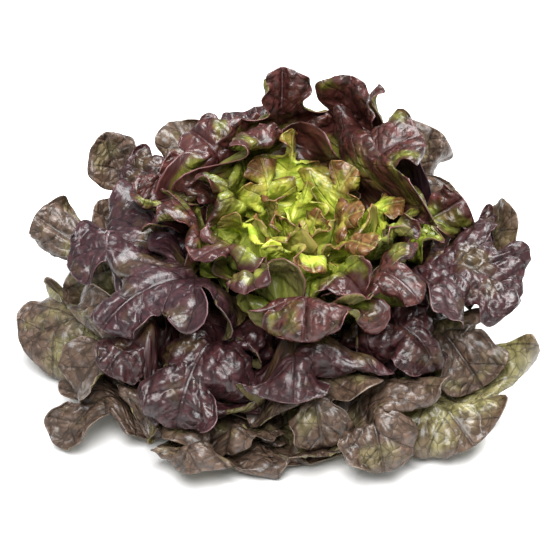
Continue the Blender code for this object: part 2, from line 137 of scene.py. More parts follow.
# %% The leaves
LEAVES = {
    "heart": [
        (20, (24, 10, 83), 29, 84, 60),
        (200, (8, -4, 85), 29, 82, 50),
        (300, (28, -16, 87), 34, 80, 40),
        (80, (18, 26, 91), 36, 80, 45),
        (165, (-8, 12, 91), 38, 78, 30),
        (350, (48, -2, 91), 40, 76, 20),
        (245, (-2, -32, 89), 43, 76, 15),
        (45, (44, 28, 99), 45, 76, 35),
        (125, (-8, 38, 99), 45, 74, 35),
        (318, (52, -36, 90), 47, 72, 5),
        (205, (-30, -16, 93), 47, 72, 10),
        (5, (70, 4, 93), 49, 70, 10),
        (278, (20, -54, 87), 52, 70, -5),
        (95, (10, 52, 109), 47, 74, 50),
    ],
    "inner": [
        (152, (-44, 20, 98), 48, 70, 5),
        (232, (-42, -44, 88), 48, 66, -10),
        (338, (76, -26, 90), 52, 66, -5),
        (298, (44, -68, 82), 50, 62, -20),
        (115, (-16, 42, 114), 66, 72, 0),
        (257, (-16, -68, 84), 54, 60, -25),
        (28, (80, 34, 116), 88, 62, -5, {"flap": 25, "frill": 40, "broad": 0.3}),
        (188, (-64, -8, 88), 54, 64, -10),
        (68, (42, 62, 137), 62, 72, 60, {"flap": 40, "cup": 35, "roll": -8}),
        (316, (74, -68, 78), 56, 58, -35),
        (90, (4, 68, 139), 74, 72, 78, {"flap": 20, "roll": 0, "broad": 0.6}),
        (128, (-48, 62, 102), 70, 66, 0),
        (276, (14, -92, 71), 84, 54, -58, {"folds": (0.2, 0.2, -0.2, -0.2), "frill": 45, "broad": 0.5}),
        (12, (104, 22, 82), 54, 60, 40, {"roll": 35}),
        (158, (-80, 26, 86), 62, 60, -5),
        (52, (58, 78, 122), 52, 66, 35),
    ],
    "middle": [
        (222, (-90, -70, 62), 82, 52, -50, {"flap": 30, "frill": 45, "roll": -15, "broad": 0.6}),
        (338, (132, -34, 56), 104, 50, -35, {"flap": 18, "frill": 40, "roll": 18, "broad": 0.5}),
        (188, (-114, -7, 60), 88, 54, -25, {"flap": 40, "roll": -12, "broad": 0.3}),
        (104, (-26, 92, 96), 74, 62, 15),
        (318, (83, -80, 42), 70, 50, -75),
        (247, (-50, -104, 24), 78, 68, -84, {"folds": (-0.5, -0.8, -0.7, -0.4), "cup": 40}),
        (274, (8, -110, 46), 90, 46, -55, {"folds": (-0.3, -0.2, -0.1, -0.1), "cup": 30, "broad": 0.8}),
        (60, (66, 88, 88), 76, 58, 5),
        (140, (-86, 62, 80), 70, 58, 5),
        (229, (-88, -84, 44), 50, 58, -45, {"folds": (0.4, 0.4, 0.2, -0.3), "roll": -15}),
        (355, (120, 2, 64), 70, 50, 0),
    ],
    "outer": [
        (140, (-98, 82, 88), 60, 50, 75, {"roll": -35}),
        (208, (-106, -74, 22), 88, 58, -65, {"roll": -10}),
        (6, (133, 18, 76), 80, 44, 40, {"roll": 45}),
        (42, (92, 84, 90), 92, 50, 45),
        (288, (24, -108, 14), 62, 58, -78),
        (342, (110, -67, 20), 88, 50, -50, {"roll": 15}),
        (166, (-135, 33, 64), 88, 50, 35, {"roll": -55}),
        (236, (-70, -92, 22), 60, 56, -74, {"flap": 40, "cup": 30}),
        (258, (-26, -112, 14), 52, 52, -75),
        (118, (-60, 108, 80), 70, 44, 30),
        (218, (-114, -96, 4), 66, 50, -50, {"roll": -10}),
        (302, (55, -124, 12), 78, 50, -65),
        (98, (6, 126, 12), 92, 42, -35, {"roll": 0}),
        (326, (103, -104, 12), 110, 50, -35, {"flap": 15, "frill": 35, "roll": 12, "broad": 0.5}),
        (192, (-140, -28, 18), 104, 46, -30, {"flap": 12, "frill": 25, "roll": -25}),
        (244, (-48, -126, 14), 76, 56, -65, {"flap": 35, "cup": 25, "frill": 35}),
        (272, (-2, -104, 14), 84, 55, -70),
        (58, (84, 104, 14), 88, 40, -35, {"roll": 0}),
    ],
}
LEAF_COUNT = sum(len(leaves) for leaves in LEAVES.values())
print("leaves in the table:", LEAF_COUNT)

# %% [markdown]
# Four small tools for curves. One is an even step from 0 to 1, which blends one thing into another.
# Two give directions, from two angles or from vectors of any length. The last draws a smooth curve
# through given points, as a bent spline does on a drawing board.

# %% Curve tools
def smooth(start, end, x):
    """0 before start, 1 after end, and an even step between them."""
    t = np.clip((x - start) / (end - start), 0, 1)
    return t * t * (3 - 2 * t)


def heading(azimuth, rise):
    """The direction with this compass angle and this rise above the floor, in degrees."""
    a, r = radians(azimuth), radians(rise)
    return np.array([cos(a) * cos(r), sin(a) * cos(r), sin(r)])


def unit(vectors):
    """The directions of vectors: each of them made one long."""
    return vectors / np.maximum(np.linalg.norm(vectors, axis=-1, keepdims=True), 1e-9)


def through(points, where):
    """A smooth curve through the rows of points, read at fractional row numbers."""
    k = np.clip(np.floor(where).astype(int), 0, len(points) - 2)
    t = (where - k).reshape((-1,) + (1,) * (points.ndim - 1))
    a, b, c, d = (points[np.clip(k + i, 0, len(points) - 1)] for i in (-1, 0, 1, 2))
    bend = (c - a) * t + (2 * a - 5 * b + 4 * c - d) * t**2 + (3 * b - a - 3 * c + d) * t**3
    return b + bend / 2


print("a smooth step a quarter of the way:", smooth(0, 1, 0.25))


# %% [markdown]
# Each leaf leaves the stem where a spiral of bases puts it, the inner ones higher up, because a
# lettuce grows from the middle and its oldest leaves end up lowest.

# %% Rows of the head
def leaf_rows():
    """One dictionary for each leaf: its ring's habit, its place, and where it leaves the stem."""
    rows = []
    table = [(ring, number, *row) for ring in LEAVES for number, row in enumerate(LEAVES[ring], 1)]
    for rank, (ring, number, azimuth, tip, width, rise, droop, *own) in enumerate(table):
        outward = rank / (LEAF_COUNT - 1)
        radius = FIRST_BASE_RADIUS + BASE_SPREAD * outward**0.9
        height = STEM_TOP - (STEM_TOP - STEM_COLLAR) * outward
        base = (AXIS[0] + radius * cos(radians(azimuth)), AXIS[1] + radius * sin(radians(azimuth)), height)
        tip_azimuth = degrees(atan2(tip[1] - AXIS[1], tip[0] - AXIS[0]))
        leaf = dict(HABITS[ring], name=f"{ring}_leaf_{number:02d}", ring=ring, seed=100 + rank,
                    azimuth=azimuth, base=base, tip=tip, tip_azimuth=tip_azimuth, width=width,
                    rise=rise, droop=droop, broad=0)
        leaf["roll"] = leaf["twist"] * np.random.default_rng(rank).uniform(-1, 1)
        leaf.update(*own)
        rows.append(leaf)
    return rows


rows_of_head = leaf_rows()
print("first and last leaf:", rows_of_head[0]["name"], rows_of_head[-1]["name"])

# %% [markdown]
# A midrib is one Bezier curve: it starts along the rise at the base and ends along the rise at the
# tip. A direction across the leaf is carried along it without turning about it, so that the leaf
# doesn't spin, and then the leaf's own roll is added, more of it near the tip.

# %% Midribs
MIDRIB_POINTS = 80
HANDLE = 0.42               # length of the curve's handles, as a share of the way from base to tip
BOW, DIP = 0.05, 0.03       # the most a midrib sways sideways and up, as a share of its length


def midrib(leaf):
    """Points along the midrib with its sideways and upper directions, and the length so far."""
    start, end = np.array(leaf["base"]), np.array(leaf["tip"], float)
    handle = HANDLE * np.linalg.norm(end - start)
    out = start + heading(leaf["azimuth"], leaf["rise"]) * handle
    back = end - heading(leaf["tip_azimuth"], leaf["droop"]) * handle
    t = np.linspace(0, 1, MIDRIB_POINTS)[:, None]
    path = (1 - t)**3 * start + 3 * (1 - t)**2 * t * out + 3 * (1 - t) * t**2 * back + t**3 * end
    length = np.concatenate([[0], np.cumsum(np.linalg.norm(np.diff(path, axis=0), axis=1))])
    along = unit(np.gradient(path, axis=0))
    sideways = np.zeros_like(path)
    side = np.array([-sin(radians(leaf["azimuth"])), cos(radians(leaf["azimuth"])), 0.0])
    for i, forward in enumerate(along):
        side = side - forward * np.dot(side, forward)
        side /= np.linalg.norm(side)
        sideways[i] = side
    up = np.cross(along, sideways)
    bow, dip = np.random.default_rng(leaf["seed"] + 50).uniform(-1, 1, 2)
    path = path + length[-1] * BOW * bow * sideways * np.sin(pi * t)**2
    path = path + length[-1] * DIP * dip * up * np.sin(2 * pi * t)
    roll = (radians(leaf["roll"]) * (length / length[-1])**1.3)[:, None]
    sideways = sideways * np.cos(roll) + up * np.sin(roll)
    return path, sideways, np.cross(along, sideways), length


midrib_lengths = [midrib(leaf)[3][-1] for leaf in rows_of_head]
print("midribs from", round(min(midrib_lengths)), "to", round(max(midrib_lengths)), "mm long")

# %% [markdown]
# No two leaves of a head have the same outline, nor do the two halves of one leaf. So each side
# takes the drawn half outline, makes each lobe a little larger or smaller, shifts the lobes along
# the leaf, and adds small swells to the margin, so that no lobe is a plain oval.

# %% Outline of one side
LOBE_SIZES = (0.82, 1.14)   # the smallest and the largest that a lobe grows, 1 as drawn
LOBE_SHIFT = 0.018          # how far lobes move along the leaf, as a share of its length
NOTCH_FILL = 0.5            # how much of a notch a leaf with broad 1 fills


def half_outline(leaf, rng, rows):
    """The outline of one side at every row of the grid, with lobes of slightly different size."""
    points = OUTLINE.copy()
    for lobe in (1, 2, 3, 4):
        points[LOBE_OF_POINT == lobe, 1] *= rng.uniform(*LOBE_SIZES)
    points[:, 0] += LOBE_SHIFT * rng.uniform(-1, 1) * np.sin(np.linspace(0, 3 * pi, len(points)))
    points[LOBE_OF_POINT == 0, 1] += NOTCH_FILL * leaf["broad"]
    points[:2, 1] = leaf["stalk"] / leaf["width"]
    points[2, 1] = max(0.2, 1.3 * leaf["stalk"] / leaf["width"])
    at = np.linspace(0, len(points) - 1, rows)
    outline = through(points, at)
    start = rng.uniform(0, 2 * pi, 2)
    outline[:, 1] *= 1 + 0.05 * np.sin(2.9 * at + start[0]) + 0.03 * np.sin(5.1 * at + start[1])
    return outline


sides = [half_outline(rows_of_head[-1], np.random.default_rng(seed), ROWS) for seed in range(20)]
print("widest lobes of 20 sides, 1 as drawn:", sorted(round(side[:, 1].max(), 2) for side in sides))


# %% [markdown]
# A leaf's surface is laid out row by row. Each row starts at the midrib and walks out to the edge in
# short steps, and every step has its own slope: the sum of the fold of its lobe, the curl of the
# side, and the waves of the margin, which grow towards the edge as on a leaf whose edge grew faster
# than its middle. Bending a flat grid like this keeps its width, so it never looks stretched.

# %% Slopes of one side
CHANNEL = 26                # degrees that the sides of the stalk rise, so that it is a channel


def slopes(leaf, rng, u, across, sway):
    """The slope of every step of every row, from the midrib to the edge of one side."""
    at = u * (len(OUTLINE) - 1)
    folds, cups = rng.uniform(-1.0, 0.7, 4), rng.uniform(-1.0, 0.9, 4)
    folds = leaf.get("folds", folds)
    fold = radians(leaf["flap"]) * np.interp(at, LOBE_MIDDLES, [0, 0, *folds, 0.6 * folds[3]])
    cup = radians(leaf["cup"]) * np.interp(at, LOBE_MIDDLES, [0, 0, *cups, cups[3]])
    keel = radians(leaf["vee"]) * (1 - 0.4 * u) + radians(CHANNEL) * (1 - smooth(0.0, 0.3, u)) + 0.2 * fold
    curl = radians(leaf["curl"] + sway) * smooth(0.1, 0.6, u)
    wave = 2 * pi * (leaf["frills"] * u * rng.uniform(0.85, 1.15) + rng.uniform())
    frill = radians(leaf["frill"]) * np.sin(wave) * smooth(0.15, 0.5, u)
    wave = 2 * pi * (leaf["fringes"] * u * rng.uniform(0.9, 1.1) + rng.uniform())
    fringe = radians(leaf["fringe"]) * np.sin(wave) * smooth(0.2, 0.5, u)
    return (keel[:, None] + curl[:, None] * across**0.8 + fold[:, None] * smooth(0.2, 0.7, across)
            + (frill + cup)[:, None] * across**2 + fringe[:, None] * across**4)


# %% [markdown]
# The steps of a row are added up to its shape, and the row is set across the midrib. Rows near the
# end of the leaf fan out round its tip, and there the whole leaf swells up and down a little.

# %% Surface of a leaf
STEPS = 48                  # steps from the midrib to the edge
SWAY = 22                   # the most that the curl of a leaf differs from its ring's, in degrees
SWELL = 4                   # height of the swells across a leaf's end


def blade(leaf, rows, columns):
    """The leaf's middle surface as a grid of points, and each point's place on the flattened leaf."""
    rng = np.random.default_rng(leaf["seed"])
    path, sideways, up, length = midrib(leaf)
    u = np.linspace(0, 1, rows)
    v = np.linspace(-1, 1, columns)
    across = (np.arange(STEPS) + 0.5) / STEPS
    swell_start, swell_length = rng.uniform(0, 2 * pi), rng.uniform(40, 55)
    sway = rng.uniform(-SWAY, SWAY)
    round_end = smooth(0.78, 1.0, u)
    grid = np.zeros((rows, columns, 3))
    flat = np.zeros((rows, columns, 2))
    for side in (-1, 1):
        edge = half_outline(leaf, rng, rows)
        half_width = leaf["width"] / 2 * edge[:, 1]
        slope = slopes(leaf, rng, u, across, sway)
        step = half_width[:, None] / STEPS
        zero = np.zeros((rows, 1))
        out = np.concatenate([zero, np.cumsum(np.cos(slope) * step, 1)], 1)
        lift = np.concatenate([zero, np.cumsum(np.sin(slope) * step, 1)], 1)
        for j in np.flatnonzero(v * side >= 0):
            a = abs(v[j])
            k = min(int(a * STEPS), STEPS - 1)
            part = a * STEPS - k
            y = out[:, k] * (1 - part) + out[:, k + 1] * part
            z = lift[:, k] * (1 - part) + lift[:, k + 1] * part
            swing = a**1.3 * (1 - round_end) + a**2 * round_end
            s = np.clip(length[-1] * (edge[:, 2] + (edge[:, 0] - edge[:, 2]) * swing), 0, length[-1])
            swell = SWELL * (np.sin(2 * pi * side * y / swell_length + swell_start) - sin(swell_start))
            tip = swell * smooth(0.5, 1.0, u)
            centre, beside, above = (np.stack([np.interp(s, length, c[:, m]) for m in range(3)], -1)
                                     for c in (path, sideways, up))
            grid[:, j] = centre + beside * (side * y)[:, None] + above * (z + tip)[:, None]
            flat[:, j] = np.stack([side * a * half_width, s], -1)
    return grid, flat


def own_side(leaf, grid):
    """Keeps a leaf on its own side of the head's axis, with a soft bend where it would cross over."""
    a = radians(leaf["azimuth"])
    way = np.array([cos(a), sin(a), 0.0])
    reach = (grid - np.array([AXIS[0], AXIS[1], 0.0])) @ way
    start = SHORTEST_REACH + SOFTNESS
    bent = SHORTEST_REACH + SOFTNESS * np.exp((np.minimum(reach, start) - start) / SOFTNESS)
    return grid + np.maximum(bent - reach, 0)[..., None] * way


grown = np.stack([own_side(leaf, blade(leaf, ROWS, COLUMNS)[0]) for leaf in rows_of_head])
print("coarse leaves and their points:", grown.shape[:3])

# %% [markdown]
# ## Leaves in layers
# Grown like this, the leaves would run through each other. In a real head they lie in layers, so the
# same is done here. A cloth simulation of 59 sheets would be slow and would need a clean start. A
# map round a point under the head, the hub, is enough: for every direction and distance it keeps how
# far the leaves lean out so far. These functions turn points into places on that map and lean them.

# %% Places round the hub
HUB = np.array([AXIS[0], AXIS[1], -6.0])


def around_hub(points, plan):
    """Distance from the hub, angle from straight up, and the cell of the map that each point is over."""
    x, y, z = np.moveaxis(points - HUB, -1, 0)
    distance = np.sqrt(x * x + y * y + z * z)
    lean = np.arctan2(np.hypot(x, y), z)
    turn = (np.arctan2(y, x) % (2 * pi) / (2 * pi) * plan["turns"]).astype(int) % plan["turns"]
    return distance, lean, (turn, np.clip((distance / plan["ring"]).astype(int), 0, plan["rings"] - 1))


def leant(points, arc):
    """Leans points further out round the hub by an arc in millimetres."""
    x, y, z = np.moveaxis(points - HUB, -1, 0)
    flat = np.maximum(np.hypot(x, y), 1e-6)
    distance = np.hypot(flat, z)
    lean = np.arctan2(flat, z) + arc / distance
    return HUB + np.stack([x / flat * distance * np.sin(lean), y / flat * distance * np.sin(lean),
                           distance * np.cos(lean)], -1)


print("60 mm out and 80 up from the hub, leant by 10:", (leant(HUB + [60, 0, 80], 10) - HUB).round(1))


# %% [markdown]
# A leaf is only known at the points of its grid, so the map is also filled between them, on the
# triangles that the grid's squares fall into. A sloping leaf takes more room than a level one of the
# same thickness, so its slant is measured too.

# %% Room that a leaf takes
STEEPEST = 0.6              # slopes steeper than this cosine are spaced as this one


def on_facets(grid, parts):
    """Points spread over a grid's triangles: every square of the grid gets parts steps each way."""
    if parts == 1:
        return grid
    rows, columns, _ = grid.shape
    x = np.arange((rows - 1) * parts + 1) / parts
    y = np.arange((columns - 1) * parts + 1) / parts
    i, j = np.minimum(x.astype(int), rows - 2), np.minimum(y.astype(int), columns - 2)
    s, t = (x - i)[:, None, None], (y - j)[None, :, None]
    here, beside = grid[i][:, j], grid[i][:, j + 1]
    ahead, across = grid[i + 1][:, j], grid[i + 1][:, j + 1]
    return np.where(t >= s, here + t * (beside - here) + s * (across - beside),
                    here + s * (ahead - here) + t * (across - ahead))


def normals(grid):
    """The direction that faces out of the grid's underside, at each of its points."""
    return unit(np.cross(np.gradient(grid, axis=1), np.gradient(grid, axis=0)))


def slant(grid):
    """How much wider than its thickness a sloping leaf is, measured round the hub."""
    way = unit(leant(grid, 0.01) - grid)
    return 1 / np.maximum(abs((normals(grid) * way).sum(-1)), STEEPEST)


def neighbours(values, pick, reach=1):
    """The pick, such as the largest, of each value and those round it."""
    for axis in (0, 1):
        size = values.shape[axis]
        padded = np.pad(values, [(reach, reach) if a == axis else (0, 0) for a in (0, 1)], mode="edge")
        values = pick([np.take(padded, range(r, r + size), axis) for r in range(2 * reach + 1)], axis=0)
    return values


# %% [markdown]
# Going from the heart outwards, each leaf leans out until it clears the map, and going back inwards,
# each leaf lifts off what is below it and off the floor. A plan says how fine the map is. The coarse
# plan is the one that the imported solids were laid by, so the same leaves come out in the same places.

# %% Laying the leaves in layers
# turns and rings: cells of the map around and outwards; ring: depth of a cell; floor: the lowest that
# a leaf lies; gap: between two leaves; parts: steps across a square; blur: how wide a move spreads
COARSE = dict(turns=240, rings=110, ring=2.0, floor=1.4, gap=1.5, parts=3, blur=0)
EMPTY = -9.0                # a cell that no leaf lies in
STEM_ROOM = 12              # no floor is set this close to the hub, where the stem stands
TRIES = 7                   # the most times that a leaf is moved in one pass
SMALL_MOVE = 0.02           # a move shorter than this isn't made


def empty_map(plan, floor):
    """A map without leaves, with or without the floor under them."""
    if not floor:
        return np.full((plan["turns"], plan["rings"]), EMPTY)
    ring = (np.arange(plan["rings"]) + 0.5) * plan["ring"]
    lowest = -np.arccos(np.clip((plan["floor"] - HUB[2]) / ring, -1, 1))
    return np.tile(np.where(ring > STEM_ROOM, lowest, EMPTY), (plan["turns"], 1))


def cleared(grid, nearby, plan, side):
    """Leans one leaf until it clears what the map holds near it."""
    parts, blur = plan["parts"], plan["blur"]
    for attempt in range(TRIES):
        distance, lean, cell = around_hub(on_facets(grid, parts), plan)
        wide = on_facets((plan["gap"] * slant(grid))[..., None], parts)[..., 0]
        lack = np.maximum(nearby[cell] * distance + wide - side * lean * distance, 0)
        move = neighbours(lack, np.max, parts - 1)[::parts, ::parts]
        if move.max() < SMALL_MOVE:
            break
        if blur:
            move = neighbours(neighbours(move, np.max, blur), np.mean, blur)
        elif attempt == 0:
            move = neighbours(move, np.mean)
        grid = leant(grid, side * move)
    return grid


def layered(grids, plan, side):
    """Leans each leaf clear of the ones before it: outwards with side 1, inwards with side -1."""
    taken = empty_map(plan, floor=side < 0)
    for k in range(len(grids))[::side]:
        wrapped = np.pad(taken, ((1, 1), (0, 0)), mode="wrap")
        grids[k] = cleared(grids[k], neighbours(wrapped, np.max)[1:-1], plan, side)
        _, lean, cell = around_hub(on_facets(grids[k], plan["parts"]), plan)
        np.maximum.at(taken, cell, side * lean)
    return grids


laid = grown.copy()
for side in (1, -1):
    laid = layered(laid, COARSE, side)
print("coarse layout:", len(laid), "leaves, moved up to", round(float(abs(laid - grown).max()), 1), "mm")

# %% [markdown]
# ## The fine sheets
# Each leaf is now grown again with points about 1.4 mm apart, and takes the moves of the coarse
# layout, evened out so that they leave no dents. Its unevenness could be left to the material, but
# then it would vanish at the leaf's outline, so all that is wider than a few points is real shape.
# Three tools come first: one evens a grid out, one draws it finer, and two make patterns.

# %% Fine grids
POINT_SPACING = 1.4         # distance between the points of a fine sheet


def evened(grid, passes):
    """A grid averaged with its neighbours, a few times over."""
    for _ in range(passes):
        for axis in (0, 1):
            before = np.take(grid, [0, *range(grid.shape[axis] - 1)], axis)
            after = np.take(grid, [*range(1, grid.shape[axis]), grid.shape[axis] - 1], axis)
            grid = (before + 2 * grid + after) / 4
    return grid


def refined(grid, rows, columns):
    """A coarse grid drawn finer, with smooth curves through its points."""
    fine = through(grid, np.linspace(0, len(grid) - 1, rows))
    fine = through(fine.swapaxes(0, 1), np.linspace(0, grid.shape[1] - 1, columns))
    return fine.swapaxes(0, 1)


# %% Random hills and scattered cells
TILE = 64                   # both patterns repeat after so many units, further than a leaf is long


def noise(x, y, seed):
    """Smooth random hills between -1 and 1, one unit apart."""
    lattice = np.random.default_rng(seed).uniform(-1, 1, (TILE, TILE))
    i, j = np.floor(x).astype(int), np.floor(y).astype(int)
    s, t = smooth(0, 1, x - i), smooth(0, 1, y - j)
    at = lambda a, b: lattice[(i + a) % TILE, (j + b) % TILE]
    return (at(0, 0) * (1 - s) + at(1, 0) * s) * (1 - t) + (at(0, 1) * (1 - s) + at(1, 1) * s) * t


def cells(x, y, seed):
    """Distance to the nearest and the second nearest of scattered points, one unit apart."""
    shift = np.random.default_rng(seed).uniform(0.12, 0.88, (2, TILE, TILE))
    i, j = np.floor(x).astype(int), np.floor(y).astype(int)
    nearest, second = np.full(x.shape, 9.0), np.full(x.shape, 9.0)
    for a in (-1, 0, 1):
        for b in (-1, 0, 1):
            dx = i + a + shift[0][(i + a) % TILE, (j + b) % TILE] - x
            dy = j + b + shift[1][(i + a) % TILE, (j + b) % TILE] - y
            distance = np.hypot(dx, dy)
            second = np.minimum(np.maximum(nearest, distance), second)
            nearest = np.minimum(nearest, distance)
    return nearest, second


print("hills along a line:", noise(np.linspace(0, 3, 7), np.zeros(7), 1).round(2))


# %% [markdown]
# The blisters of a savoyed leaf are domes between its veins, where the leaf grew faster than the
# veins did. They follow a scattered pattern of cells on the flattened leaf. Some leaves are smoother
# than others, and the stalk, the midrib and the margin have none. Side veins run forward from the
# midrib at even distances, each in a groove, and wide crumples make the whole leaf uneven.

# %% Blisters, grooves and crumples
BLISTER = {"heart": 7.0, "inner": 8.0, "middle": 9.0, "outer": 9.5}      # size of a blister
DOME = {"heart": 1.2, "inner": 2.1, "middle": 2.5, "outer": 1.9}         # height of a blister
CRUMPLE = {"heart": 2.2, "inner": 2.0, "middle": 2.2, "outer": 2.0}      # depth of the wide dents
VEIN_SPACING = 16.0         # between side veins, along the midrib
VEIN_SWEEP = 0.75           # how far forward a side vein runs for each step outwards
VEIN_BEND = 0.25            # how far side veins stray, in spacings
GROOVE = 0.35               # depth of a vein's groove, as a share of a blister's height
GROOVE_SIDE = 3.5           # half width of a side vein's groove
GROOVE_MIDDLE = 4           # and of the midrib's
BEND_SIZE = 22              # how long a stray of the veins is
PATCH_SIZE = 21             # of the patches with more or fewer blisters
DENT_SIZES = (17, 9)        # of the wide dents, and of the shallower ones among them


def vein_count(leaf, x, y):
    """How many vein spacings each point is from the leaf's base. A side vein runs at every half."""
    along = (y - VEIN_SWEEP * abs(x)) / VEIN_SPACING
    stray = VEIN_BEND * noise(x / BEND_SIZE, y / BEND_SIZE, leaf["seed"])
    return along + stray + np.where(x < 0, 0.5, 0)


def heights(leaf, x, y, u, from_edge, veins):
    """How far each point stands out of the leaf's middle surface."""
    ring, seed = leaf["ring"], leaf["seed"]
    size = BLISTER[ring]
    warp = 0.5 * noise(x / size / 2, y / size / 2, seed + 4)
    nearest, second = cells(x / size + warp, (y - 0.3 * abs(x)) / size - warp, seed + 1)
    dome = 1 - (1 - np.clip((second - nearest) / 0.8, 0, 1))**2
    dome = dome * (0.35 + 0.65 * smooth(-0.4, 0.5, noise(x / PATCH_SIZE, y / PATCH_SIZE, seed + 5)))
    soft = smooth(0.12, 0.35, u) * smooth(0, 5, from_edge) * smooth(0, 5, abs(x))
    wide, narrow = (noise(x / dent, y / dent, seed + k) for k, dent in enumerate(DENT_SIZES, 2))
    crumple = wide + 0.4 * narrow
    from_vein = abs(veins % 1 - 0.5) * VEIN_SPACING
    groove = (1 - smooth(0, GROOVE_SIDE, from_vein)) * smooth(0.15, 0.4, u) * smooth(0, 6, from_edge)
    groove = np.maximum(groove, 1 - smooth(0, GROOVE_MIDDLE, abs(x)))
    bossed = DOME[ring] * np.random.default_rng(seed + 6).uniform(0.5, 1.3)
    height = (bossed * dome + CRUMPLE[ring] * crumple * smooth(0.1, 0.4, u)) * soft
    return height - GROOVE * bossed * groove


# %% [markdown]
# The margin of a real leaf is never a clean line. Small notches push the last few points of each row
# in or out, and small frills push them up or down, both a few millimetres long.

# %% Ragged margin
RAGGED = 1.3                # depth of the small notches of the margin
CRISP = 1.2                 # height of its small frills
NOTCH_LENGTH = 4.5          # along the margin


def ragged(grid, seed):
    """Small notches and frills along the margin, each a few points long."""
    rows, columns, _ = grid.shape
    v = np.linspace(-1, 1, columns)
    place = np.arange(rows) * POINT_SPACING / NOTCH_LENGTH
    calm = smooth(0.2, 0.4, place / place[-1]) * (1 - smooth(0.9, 0.98, place / place[-1]))
    normal = normals(grid)
    for side, edge, inside in ((-1, 0, 4), (1, -1, -5)):
        out = unit(grid[:, edge] - grid[:, inside])
        notch = RAGGED * calm * noise(place, np.full(rows, side * 9.5), seed + 8)
        frill = CRISP * calm * noise(place, np.full(rows, side * 5.5), seed + 9)
        near = np.clip((side * v - 0.7) / 0.3, 0, 1)[None, :, None] ** 2
        grid = grid + near * (notch[:, None, None] * out[:, None] + frill[:, None, None] * normal)
    return grid


# %% Grow every leaf fine
def fine_leaf(leaf, moved):
    """The fine sheet of a leaf, with its places on the flat leaf, edge distance and vein count."""
    _, flat = blade(leaf, ROWS, COLUMNS)
    rows = int(np.ptp(flat[:, COLUMNS // 2, 1]) * 1.05 / POINT_SPACING)
    columns = 2 * int(leaf["width"] * 0.46 / POINT_SPACING) + 1
    grid, flat = blade(leaf, rows, columns)
    grid = own_side(leaf, grid) + refined(evened(moved, 2), rows, columns)
    x, y = flat[..., 0], flat[..., 1]
    v = np.abs(np.linspace(-1, 1, columns))[None]
    u = np.linspace(0, 1, rows)[:, None]
    from_edge = np.minimum((1 - v) * leaf["width"] * 0.4, (1 - u) * y.max())
    veins = vein_count(leaf, x, y)
    grid = grid - normals(grid) * heights(leaf, x, y, u, from_edge, veins)[..., None]
    return dict(grid=ragged(grid, leaf["seed"]), x=x, y=y, from_edge=from_edge, veins=veins)


sheets = [fine_leaf(leaf, to - start) for leaf, to, start in zip(rows_of_head, laid, grown)]
print("fine points:", sum(sheet["x"].size for sheet in sheets))

# %% [markdown]
# The sheets are laid in layers once more, now with their blisters and frills. The moves are small,
# and they are widened and evened out over a few points, so that the surface stays smooth.

# %% Fine layers
FINE = dict(turns=360, rings=150, ring=1.5, floor=0.8, gap=0.8, parts=1, blur=2)
grids = [sheet["grid"] for sheet in sheets]
for side in (1, -1):
    before = [grid.copy() for grid in grids]
    grids = layered(grids, FINE, side)
    most = max(float(abs(a - b).max()) for a, b in zip(before, grids))
    print("fine layers moved leaves up to", round(most, 1), "mm")

# %% [markdown]
# ## Leaf tissue
# A lettuce leaf is a wet, thin and slightly waxy sheet. Light enters it and comes out of the other
# side, so a diffuse shader is mixed with a translucent one, and a thin coat on the upper side is the
# wax with its soft gloss. Some tools come first: one for colours, one that adds a node, and one that
# starts a material.

# %% Material tools
def colour(code):
    """An sRGB hex colour as the linear colour that a shader wants."""
    parts = [int(code[k:k + 2], 16) / 255 for k in (1, 3, 5)]
    return (*[p / 12.92 if p <= 0.04045 else ((p + 0.055) / 1.055)**2.4 for p in parts], 1.0)


def add(tree, kind, inputs=(), output=0, **settings):
    """Adds a node with its settings and gives back one of its outputs. Its inputs are a dictionary by
    name or number, or a list in the node's own order, of values or of outputs to link from."""
    made = tree.nodes.new("ShaderNode" + kind)
    for name, value in settings.items():
        setattr(made, name, value)
    for name, value in (inputs.items() if isinstance(inputs, dict) else enumerate(inputs)):
        if isinstance(value, bpy.types.NodeSocket):
            tree.links.new(value, made.inputs[name])
        else:
            made.inputs[name].default_value = value
    return made.outputs[output] if made.outputs else None


def new_material(name):
    """An empty material, and its node tree to fill."""
    made = bpy.data.materials.new(name)
    made.use_nodes = True
    made.node_tree.nodes.clear()
    return made, made.node_tree


SOFT = dict(interpolation_type="SMOOTHSTEP")      # a range that starts and ends softly
MIX = dict(data_type="RGBA", output=2)            # a colour mix, whose colours are inputs 6 and 7
print("#808080 is", round(colour("#808080")[0], 3), "to a shader")

# %% [markdown]
# The patterns read two attributes that every sheet carries. One is leaf_mm, each point's place on the
# flattened leaf in millimetres, so a pattern follows the leaf through all its folds, and its scale is
# one over its real size. The other is leaf_marks, whose three numbers say how red the point is, how
# near the margin, where a highlight is painted along the rim, and how many vein spacings from the
# leaf's base.

# %% Patterns of a leaf
NOISES = {                  # size in millimetres, and how much finer detail it has
    "drift": (30, 2),       # a leaf turns from green to red unevenly
    "blotch": (15, 3),      # patches of red and of gloss
    "mottle": (5, 4),       # light and dark between the smallest veins
    "grain": (0.9, 2),      # skin cells, in truth ten times finer, drawn as fine as can show
}
CUSHION = 5                 # the small blisters between the smallest veins, in mm
CUSHION_WARP = 2.5          # how far their pattern is bent, in mm
LEAF_STEP = 60.0            # how far apart the patterns of two leaves are taken, in mm


